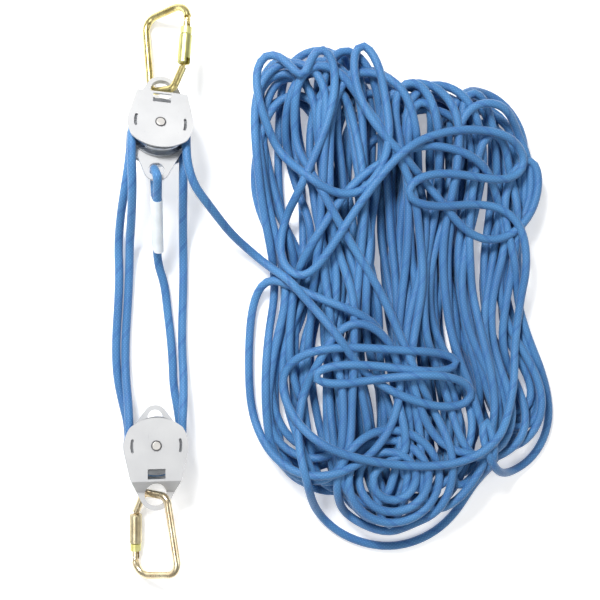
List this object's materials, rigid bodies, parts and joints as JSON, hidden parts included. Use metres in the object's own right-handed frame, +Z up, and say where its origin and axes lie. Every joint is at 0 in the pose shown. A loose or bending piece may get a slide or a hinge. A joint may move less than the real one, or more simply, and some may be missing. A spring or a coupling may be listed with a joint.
{
  "type": "rigged pulley block system",
  "caption": "Rope hauling system of two double-sheave pulley blocks, each on a locking carabiner, reeved with one long rope whose spare length lies in a pile.",
  "frame": {"origin": "middle of the metal hardware's footprint on the floor", "axes": "+Y from the lower block to the upper block, +X towards the spare rope, +Z up"},
  "size_m": [0.6032, 0.7315, 0.1063],
  "materials": {
    "rope": "matte",
    "shrink_plastic": "satin",
    "plate_metal": "satin",
    "sheave_alloy": "satin",
    "washer_plastic": "matte",
    "band_yellow": "satin",
    "upper_gold": "satin",
    "lower_gold": "satin",
    "bright_steel": "polished"
  },
  "bodies": {
    "upper_block": {"top_front_plate": "plate_metal", "top_centre_plate": "plate_metal", "top_rear_plate": "plate_metal", "top_axle": "bright_steel", "top_axle_collar": "bright_steel", "top_thrust_washers": "washer_plastic", "top_rope_wrap_a": "rope", "top_rope_wrap_b": "rope", "becket_eye": "rope", "shrink_sleeve": "shrink_plastic", "rope_becket_to_bottom_a": "rope", "rope_bottom_a_to_top_a": "rope", "rope_top_a_to_bottom_b": "rope", "rope_bottom_b_to_top_b": "rope", "rope_tail": "rope", "rope_heap": "rope"},
    "lower_block": {"bottom_front_plate": "plate_metal", "bottom_centre_plate": "plate_metal", "bottom_rear_plate": "plate_metal", "bottom_axle": "bright_steel", "bottom_axle_collar": "bright_steel", "bottom_thrust_washers": "washer_plastic", "bottom_rope_wrap_a": "rope", "bottom_rope_wrap_b": "rope"},
    "upper_sheave_a": {"top_sheave_a": "sheave_alloy", "top_bearing_a": "bright_steel"},
    "upper_sheave_b": {"top_sheave_b": "sheave_alloy", "top_bearing_b": "bright_steel"},
    "upper_carabiner": {"top_carabiner_body": "upper_gold"},
    "upper_gate": {"top_carabiner_gate": "upper_gold", "top_gate_hinge_pin": "bright_steel", "top_gate_spring": "bright_steel", "top_gate_plunger": "bright_steel", "top_sleeve_band": "band_yellow"},
    "upper_sleeve": {"top_locking_sleeve": "upper_gold"},
    "lower_sheave_a": {"bottom_sheave_a": "sheave_alloy", "bottom_bearing_a": "bright_steel"},
    "lower_sheave_b": {"bottom_sheave_b": "sheave_alloy", "bottom_bearing_b": "bright_steel"},
    "lower_carabiner": {"bottom_carabiner_body": "lower_gold"},
    "lower_gate": {"bottom_carabiner_gate": "lower_gold", "bottom_gate_hinge_pin": "bright_steel", "bottom_gate_spring": "bright_steel", "bottom_gate_plunger": "bright_steel", "bottom_sleeve_band": "band_yellow"},
    "lower_sleeve": {"bottom_locking_sleeve": "lower_gold"}
  },
  "joints": [
    {"name": "haul_slide", "type": "slide", "parent": "upper_block", "child": "lower_block", "axis": [0, 1, 0], "range_m": [0, 0.2], "deforming": ["rope_becket_to_bottom_a", "rope_bottom_a_to_top_a", "rope_top_a_to_bottom_b", "rope_bottom_b_to_top_b"]},
    {"name": "upper_sheave_a_spin", "type": "hinge", "parent": "upper_block", "child": "upper_sheave_a", "pos_m": [-0.00036, 0.19402, 0.05333], "axis": [0.0354, 0.4052, 0.9135], "continuous": true},
    {"name": "upper_sheave_b_spin", "type": "hinge", "parent": "upper_block", "child": "upper_sheave_b", "pos_m": [0.00046, 0.20342, 0.07452], "axis": [0.0354, 0.4052, 0.9135], "continuous": true},
    {"name": "upper_carabiner_swing", "type": "hinge", "parent": "upper_block", "child": "upper_carabiner", "pos_m": [0.00491, 0.25424, 0.03911], "axis": [0.0354, 0.4052, 0.9135], "range_deg": [0, 8]},
    {"name": "upper_gate_hinge", "type": "hinge", "parent": "upper_carabiner", "child": "upper_gate", "pos_m": [0.03612, 0.34096, 0.05287], "axis": [0.6915, -0.1378, -0.7091], "range_deg": [0, 24], "stiffness_Nm_per_rad": 0.3, "springref_deg": -17.19},
    {"name": "upper_sleeve_twist", "type": "hinge", "parent": "upper_gate", "child": "upper_sleeve", "pos_m": [0.03264, 0.3053, 0.05641], "axis": [0.0866, 0.9904, -0.108], "range_deg": [0, 90]},
    {"name": "lower_sheave_a_spin", "type": "hinge", "parent": "lower_block", "child": "lower_sheave_a", "pos_m": [-0.0023, -0.19547, 0.0169], "axis": [0, 0.1236, 0.9923], "continuous": true},
    {"name": "lower_sheave_b_spin", "type": "hinge", "parent": "lower_block", "child": "lower_sheave_b", "pos_m": [-0.0023, -0.1926, 0.03993], "axis": [0, 0.1236, 0.9923], "continuous": true},
    {"name": "lower_carabiner_swing", "type": "hinge", "parent": "lower_block", "child": "lower_carabiner", "pos_m": [-0.0023, -0.25457, 0.03596], "axis": [0, 0.1236, 0.9923], "range_deg": [0, 8]},
    {"name": "lower_gate_hinge", "type": "hinge", "parent": "lower_carabiner", "child": "lower_gate", "pos_m": [-0.02643, -0.33828, 0.00604], "axis": [0.682, 0.0637, -0.7286], "range_deg": [0, 24], "stiffness_Nm_per_rad": 0.3, "springref_deg": -17.19},
    {"name": "lower_sleeve_twist", "type": "hinge", "parent": "lower_gate", "child": "lower_sleeve", "pos_m": [-0.02607, -0.30244, 0.00952], "axis": [0, -0.9962, -0.0872], "range_deg": [0, 90]}
  ],
  "couplings": [
    {"joint": "upper_sheave_a_spin", "follows": "haul_slide", "rad_per_m": -60.606},
    {"joint": "upper_sheave_b_spin", "follows": "haul_slide", "rad_per_m": -121.21},
    {"joint": "lower_sheave_a_spin", "follows": "haul_slide", "rad_per_m": -30.303},
    {"joint": "lower_sheave_b_spin", "follows": "haul_slide", "rad_per_m": -90.909}
  ]
}
